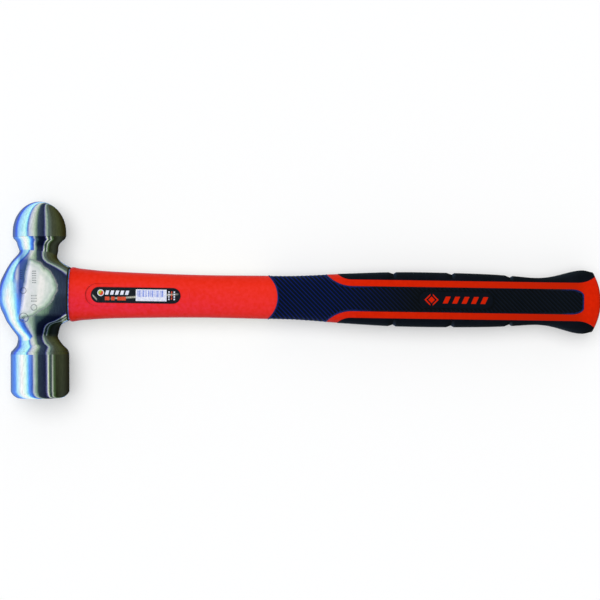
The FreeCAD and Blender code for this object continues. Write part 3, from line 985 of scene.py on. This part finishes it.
def orange_plastic():
    """Satin moulded plastic, with painted shade, a little darker and redder, in its corners."""
    material, shader = new_material("orange plastic", (0.8, 0.025, 0.005), 0.4)
    shader.inputs["IOR"].default_value = 1.25
    grain = noise(material, 1600)
    cloudy = noise(material, 420, detail=5)
    along = fade(material, "X", *NECK_TO_GRIP_X)
    neck, grip = orange_neck(material, cloudy), orange_grip(material, cloudy)
    surface = mix_colours(material, along, neck, grip)
    # Painted shade: darker and redder in hollows and corners narrower than about 2 mm
    shade = colour_ramp(material, occlusion(material, 2.0),
                        [(0.3, (0.72, 0.5, 0.5)), (0.9, (1, 1, 1))])
    paint(material, shader, mix_colours(material, 1.0, surface, shade, "MULTIPLY"))
    link(material, fade(material, "X", *NECK_TO_GRIP_X, 0.4, 0.15),
         shader.inputs["Specular IOR Level"])
    link(material, rescale(material, cloudy, 0.3, 0.7, 0.36, 0.46), shader.inputs["Roughness"])
    bump(material, shader, grain, 0.03, round_edges=0.4)
    return material


def soft_grip(name, ribbed):
    """Dark soft plastic: a painted bluish reflection on the collar's rib crests and painted shade in
    the grooves, plainer and blacker to the butt.
    """
    material, shader = new_material(name, (0.004, 0.006, 0.012), 0.5, specular=0.1)
    shader.inputs["IOR"].default_value = 1.3
    grain = noise(material, 2200, detail=2)
    cloudy = noise(material, 160, detail=4)
    plain = mottled(material, cloudy, (0.0022, 0.0035, 0.0055), (0.0040, 0.0055, 0.0095))
    colour = plain
    if ribbed:
        # Painted light by rib depth: a bluish reflection on the collar's crests, painted shade in
        # the grooves
        depth = add_node(material, "Attribute", attribute_name="groove")
        collar_sheen_and_shade = colour_ramp(material, depth.outputs["Fac"],
                             [(0.0, (0.0030, 0.0190, 0.225)), (0.22, (0.0028, 0.0095, 0.075)),
                              (0.45, (0.0024, 0.0050, 0.010))])
        panel_groove_shade = colour_ramp(material, depth.outputs["Fac"],
                            [(0.0, (0.0052, 0.0088, 0.017)), (0.6, (0.0026, 0.0036, 0.004))])
        rib_sheen_and_shade = mix_colours(material, fade(material, "X", 195, 250), collar_sheen_and_shade, panel_groove_shade)
        colour = mix_colours(material, 0.25, rib_sheen_and_shade, plain)
    paint(material, shader, colour)
    link(material, rescale(material, cloudy, 0.3, 0.7, 0.42, 0.58), shader.inputs["Roughness"])
    bump(material, shader, grain, 0.03)
    return material


def rim_rubber():
    """The smooth border round the ribs, with a painted blue reflection on the collar, the flares and
    the far end.
    """
    material, shader = new_material("soft grip rim", (0.003, 0.009, 0.06), 0.35, specular=0.2)
    cloudy = noise(material, 300)
    # Painted reflection: blue on the collar, the flares and the far end; the rim's own near-black
    # along the middle
    blue = mottled(material, cloudy, (0.0020, 0.0080, 0.060), (0.0038, 0.0140, 0.120), 0.15)
    black = mottled(material, cloudy, (0.0015, 0.0022, 0.004), (0.0030, 0.0045, 0.012), 0.15)
    middle = between(material, "X", (206, 225, 345, 357))
    paint(material, shader, mix_colours(material, middle, blue, black))
    bump(material, shader, cloudy, 0.03)
    return material


def resin():
    """Dark cured resin, as in the crown's opening."""
    material, shader = new_material("resin", (0.003, 0.005, 0.014), 0.1)
    lumps = noise(material, 500, detail=2)
    tint = mottled(material, lumps, (0.002, 0.003, 0.006), (0.005, 0.009, 0.03), 0.15)
    paint(material, shader, tint)
    bump(material, shader, lumps, 0.2)
    return material


def glossy_resin():
    """Cured resin with a painted bluish glint that comes and goes around the joint."""
    material, shader = new_material("glossy resin", (0.01, 0.03, 0.25), 0.15, specular=1.0)
    patches = noise(material, (250, 330, 330), detail=2)
    # Painted glint: blue patches on near-black resin
    painted_glint = colour_ramp(material, patches, [(0.38, (0.002, 0.003, 0.01)), (0.46, (0.03, 0.10, 0.85)),
                                            (0.6, (0.22, 0.40, 1.00))])
    towards_handle = fade(material, "X", 20.4, 20.6)
    paint(material, shader, mix_colours(material, towards_handle, (0.002, 0.003, 0.006), painted_glint))
    bump(material, shader, patches, 0.2)
    return material


def fibreglass():
    """The sawn bar, with strands along the handle."""
    material, shader = new_material("fibreglass", (0.6, 0.52, 0.3), 0.6)
    strands = noise(material, (200, 2600, 2600), detail=2)
    tint = mottled(material, strands, (0.38, 0.3, 0.14), (0.72, 0.66, 0.45), 0.15)
    paint(material, shader, tint)
    bump(material, shader, strands, 0.05)
    return material


# Two pale lines of painted glare in the film: one along the label and a short glint by its end
# (start and end)
LONG_GLARE_LINE = ((46.0, -2.6), (94.0, 1.2))
END_GLINT_LINE = ((36.3, 0.2), (39.9, -3.5))
STREAK_CLEAR, STREAK_FULL = 1.5, 0.8   # distances from the line where the painted glare ends and is full
STREAK_RAGGED = 1.2


def streak(material, ragged, ends, fade_in):
    """1 along a thin ragged line between two points of the label."""
    x, y = position(material, "X"), position(material, "Y")
    start, end = [place(*point, 0) for point in ends]
    slope = (end.y - start.y) / (end.x - start.x)
    line = maths(material, "ADD", maths(material, "MULTIPLY", x, slope), start.y - slope * start.x)
    off = maths(material, "ABSOLUTE", maths(material, "SUBTRACT", y, line), 0.0)
    near = rescale(material, maths(material, "ADD", off, ragged),
                   STREAK_CLEAR * MM, STREAK_FULL * MM)
    started = rescale(material, x, start.x, start.x + fade_in * MM)
    ended = rescale(material, x, end.x, end.x - fade_in * MM / 2)
    return all_of(material, [near, started, ended])


def label_film():
    """Black laminated film, slightly wavy, with pale streaks of painted glare."""
    material, shader = new_material("label film", (0.006, 0.007, 0.011), 0.14, specular=0.25)
    waves = noise(material, (90, 160, 90), detail=2)
    fine = noise(material, (1200, 500, 1200))
    black = mottled(material, fine, (0.004, 0.005, 0.010), (0.009, 0.011, 0.019), 0.15)
    glare_colour = colour_ramp(material, fine, [(0.35, (0.16, 0.17, 0.13)), (0.6, (0.62, 0.62, 0.54))])
    ragged = maths(material, "MULTIPLY", fine, STREAK_RAGGED * MM)
    painted_glare = maths(material, "MAXIMUM", streak(material, ragged, LONG_GLARE_LINE, 8.0),
                 streak(material, ragged, END_GLINT_LINE, 1.0))
    paint(material, shader, mix_colours(material, painted_glare, black, glare_colour))
    link(material, rescale(material, waves, 0.3, 0.7, 0.1, 0.22), shader.inputs["Roughness"])
    bump(material, shader, waves, 0.2)
    return material


def ink(name, dark, light):
    """Printing ink with a fine unevenness between two shades."""
    material, shader = new_material(name, light, 0.35, specular=0.3)
    uneven = noise(material, 1100)
    paint(material, shader, mottled(material, uneven, dark, light, 0.15))
    bump(material, shader, uneven, 0.01)
    return material


def dress(node, material):
    """Give a carried-over solid a material in all its slots."""
    mesh = frame["nodes"][node].data
    if not mesh.materials:
        mesh.materials.append(material)
    for i in range(len(mesh.materials)):
        mesh.materials[i] = material


# ---- Stage ----

# Where the hammer rests: the end of the striking cylinder, the ball and the butt
STRIKER_REST = (1.2, -40.0, -19.4)
BALL_REST = (-0.5, 43.0, -17.67)
BUTT_REST = (361.0, 0.0, -15.8)
FLOOR_REACH = 3000.0
FLOOR_GLOW = 0.27          # a lit table: it keeps the shadows pale


def floor():
    """A pale matt floor through the three points of rest; it doesn't show in the steel."""
    mesh = bpy.data.meshes.new("floor")
    striker, ball, butt = [Vector(point) for point in (STRIKER_REST, BALL_REST, BUTT_REST)]
    up = (butt - striker).cross(ball - striker).normalized()
    corners = []
    for x_side, y_side in ((-1, -1), (1, -1), (1, 1), (-1, 1)):
        x, y = x_side * FLOOR_REACH, y_side * FLOOR_REACH
        z = striker.z - (up.x * (x - striker.x) + up.y * (y - striker.y)) / up.z
        corners.append(place(x, y, z))
    mesh.from_pydata(corners, [], [(0, 1, 2, 3)])
    material, shader = new_material("floor", (0.72, 0.72, 0.72), 0.9, specular=0.0)
    shader.inputs["Emission Color"].default_value = (1, 1, 1, 1)
    shader.inputs["Emission Strength"].default_value = FLOOR_GLOW
    mesh.materials.append(material)
    add_object("floor", mesh)


# What the steel reflects: long studio panels that run along Y.
# (degrees from the line between head and camera, towards the butt; colour)
HEAD_VIEW_DEG = 8.4
PANELS_FACE_SIDE = [
    (-180, (0.12, 0.14, 0.18)), (-150, (0.16, 0.28, 0.64)), (-128, (0.14, 0.34, 1.10)),
    (-114, (0.16, 0.42, 1.32)), (-100, (0.62, 1.10, 1.35)), (-76, (1.35, 1.30, 1.32)),
    (-58, (0.95, 1.38, 1.27)), (-50, (0.35, 1.00, 1.38)), (-44, (0.14, 0.42, 1.36)),
    (-32, (0.04, 0.15, 0.70)), (-29, (0.10, 0.16, 0.66)), (-25, (0.72, 0.82, 0.95)),
    (-18, (0.42, 0.60, 0.47)), (-12, (0.19, 0.33, 0.23)), (-7, (0.03, 0.05, 0.08)),
    (22, (0.012, 0.016, 0.055)), (26, (0.03, 0.04, 0.30)), (29, (0.60, 0.60, 0.95)),
    (32, (1.30, 1.45, 1.05)), (35, (0.08, 0.17, 0.06)), (45, (0.02, 0.03, 0.08)),
    (50, (0.80, 0.88, 0.78)), (54, (0.10, 0.20, 0.07)), (66, (0.022, 0.028, 0.012)),
    (95, (0.048, 0.060, 0.040)), (140, (0.018, 0.018, 0.012)), (180, (0.018, 0.018, 0.012)),
]
PANELS_BALL_SIDE = [
    (-180, (0.12, 0.14, 0.18)), (-135, (0.14, 0.22, 0.52)), (-118, (0.08, 0.18, 1.20)),
    (-102, (0.40, 0.80, 1.36)), (-66, (0.74, 1.33, 1.32)), (-60, (0.45, 1.20, 1.35)),
    (-56, (0.12, 0.42, 1.00)), (-51, (0.22, 0.33, 0.90)), (-43, (0.78, 0.84, 1.00)),
    (-30, (0.84, 0.92, 0.86)), (-20, (0.46, 0.63, 0.47)), (-13, (0.18, 0.29, 0.22)),
    (-7, (0.05, 0.08, 0.13)), (18, (0.02, 0.03, 0.08)), (21, (0.05, 0.06, 0.30)),
    (27, (0.52, 0.58, 0.64)), (34, (0.35, 0.50, 0.35)), (39, (0.11, 0.17, 0.16)),
    (47, (0.13, 0.17, 0.14)), (58, (0.075, 0.09, 0.055)), (90, (0.072, 0.085, 0.035)),
    (130, (0.035, 0.03, 0.008)), (180, (0.02, 0.02, 0.01)),
]
SIDES_MEET = (-0.04, 0.03)  # Y of the direction, where one set of panels gives way to the other
FILL_LIGHT = (0.40, 0.405, 0.41)
BACKDROP = (0.98, 0.98, 0.98)


def sky():
    """An even dome for soft light; glossy surfaces see long studio panels instead."""
    world = bpy.data.worlds.new("studio")
    bpy.context.scene.world = world
    world.use_nodes = True
    background = world.node_tree.nodes["Background"]
    x, y, z = [position(world, axis, "Generated") for axis in "XYZ"]
    half_angle = maths(world, "ARCTAN2", x, maths(world, "ADD", z, 1.0))
    share = rescale(world, half_angle, -math.pi / 2, math.pi / 2)
    sides = []
    for panels in (PANELS_FACE_SIDE, PANELS_BALL_SIDE):
        stops = [((degrees + HEAD_VIEW_DEG + 180) / 360, colour) for degrees, colour in panels]
        sides.append(colour_ramp(world, share, stops))
    to_ball = rescale(world, y, *SIDES_MEET)
    panels = mix_colours(world, to_ball, *sides)
    path = add_node(world, "LightPath")
    seen = mix_colours(world, path.outputs["Is Camera Ray"], FILL_LIGHT, BACKDROP)
    link(world, mix_colours(world, path.outputs["Is Glossy Ray"], seen, panels),
         background.inputs["Color"])


LIGHT_STRENGTH, LIGHT_SPREAD_DEG = 1.95, 50
LIGHT_FROM = (-0.12, 0.15, 1.1)     # in metres; only its direction matters


def soft_light():
    """Wide light from overhead, even over the whole floor; the steel doesn't show it."""
    data = bpy.data.lights.new("overhead", "SUN")
    data.energy, data.angle = LIGHT_STRENGTH, math.radians(LIGHT_SPREAD_DEG)
    light = add_object("overhead", data)
    light.location = LIGHT_FROM
    light.rotation_euler = (-Vector(LIGHT_FROM)).to_track_quat("-Z", "Y").to_euler()


# Camera: straight above, turned a little about its own line of sight
CAMERA_X, CAMERA_Y, CAMERA_HEIGHT = 173.9, -1.44, 1200.0
CAMERA_TURN_DEG = 0.865
CAMERA_LENS, CAMERA_SENSOR = 108.0, 36.0


def camera():
    data = bpy.data.cameras.new("camera")
    data.sensor_width, data.lens = CAMERA_SENSOR, CAMERA_LENS
    obj = add_object("camera", data)
    obj.location = place(CAMERA_X, CAMERA_Y, CAMERA_HEIGHT)
    obj.rotation_euler = (0, 0, math.radians(CAMERA_TURN_DEG))
    bpy.context.scene.camera = obj


# ---- The scene ----

camera()
floor()
sky()
soft_light()
bpy.context.scene.view_settings.view_transform = "Standard"

dress("head", steel())
dress("handle_jacket", orange_plastic())
dress("eye_epoxy", resin())
dress("fibreglass_core", fibreglass())
dress("label", label_film())

ribbed, plain = soft_grip("ribbed soft grip", True), soft_grip("plain soft grip", False)
loops = sleeve_loops()
add_piece("soft_sleeve", sleeve_shape(loops), ribbed, ["grip_sleeve"])
add_piece("soft_sleeve_rims", sleeve_rims(loops), rim_rubber())
peen_pad = pad_shape()
add_piece("soft_pad_peen_side", peen_pad, plain, ["grip_pad_peen_side"])
add_piece("soft_pad_face_side", mirrored(peen_pad), plain, ["grip_pad_face_side"])
add_piece("resin_meniscus", meniscus(), glossy_resin())
for name, shape, dark, light in (
    ("white", white_print(), (0.62, 0.66, 0.85), (0.86, 0.87, 0.95)),
    ("blue", blue_print(), (0.16, 0.22, 0.62), (0.34, 0.42, 0.85)),
    ("orange", orange_print(), (0.55, 0.05, 0.02), (0.75, 0.09, 0.03)),
    ("green", green_print(), (0.30, 0.36, 0.02), (0.52, 0.60, 0.04)),
):
    add_piece("label_" + name, shape, ink(name + " ink", dark, light))

# The steel shows only the studio panels, and the handle doesn't tint the floor
for part in bpy.context.scene.objects:
    part.visible_glossy = False
frame["nodes"]["handle_jacket"].visible_diffuse = False
